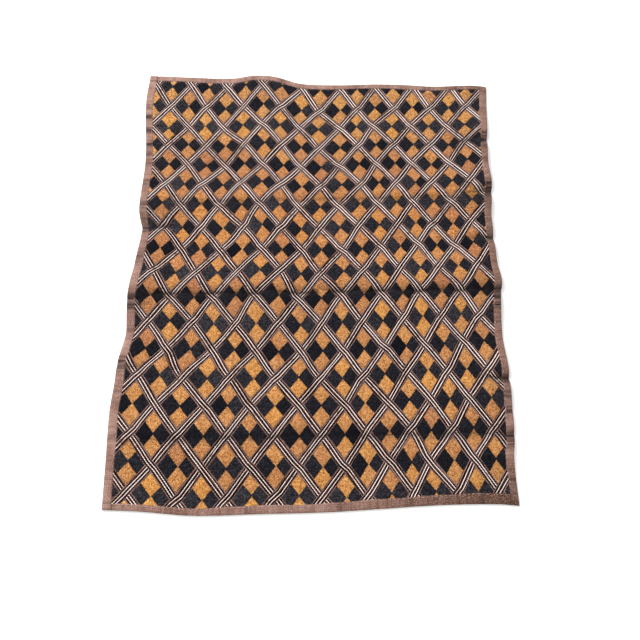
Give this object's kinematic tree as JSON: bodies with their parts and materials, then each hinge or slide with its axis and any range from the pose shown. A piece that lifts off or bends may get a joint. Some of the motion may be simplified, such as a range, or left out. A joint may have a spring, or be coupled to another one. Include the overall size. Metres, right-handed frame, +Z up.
{
  "type": "embroidered raffia cloth",
  "caption": "Rectangular raffia cloth with a diamond-lattice cut-pile embroidery and a turned hem all round, lying open with soft storage folds.",
  "frame": {"origin": "middle of the cloth's footprint, on the surface that it lies on", "axes": "+X across the cloth to the viewer's right, +Y along it to its far end, +Z up"},
  "size_m": [0.5884, 0.7241, 0.0097],
  "materials": {
    "raffia": "hand-woven raffia ground with black, golden and cream raffia embroidery, matt"
  },
  "bodies": {
    "root": {"raffia_cloth": "raffia"}
  },
  "joints": []
}
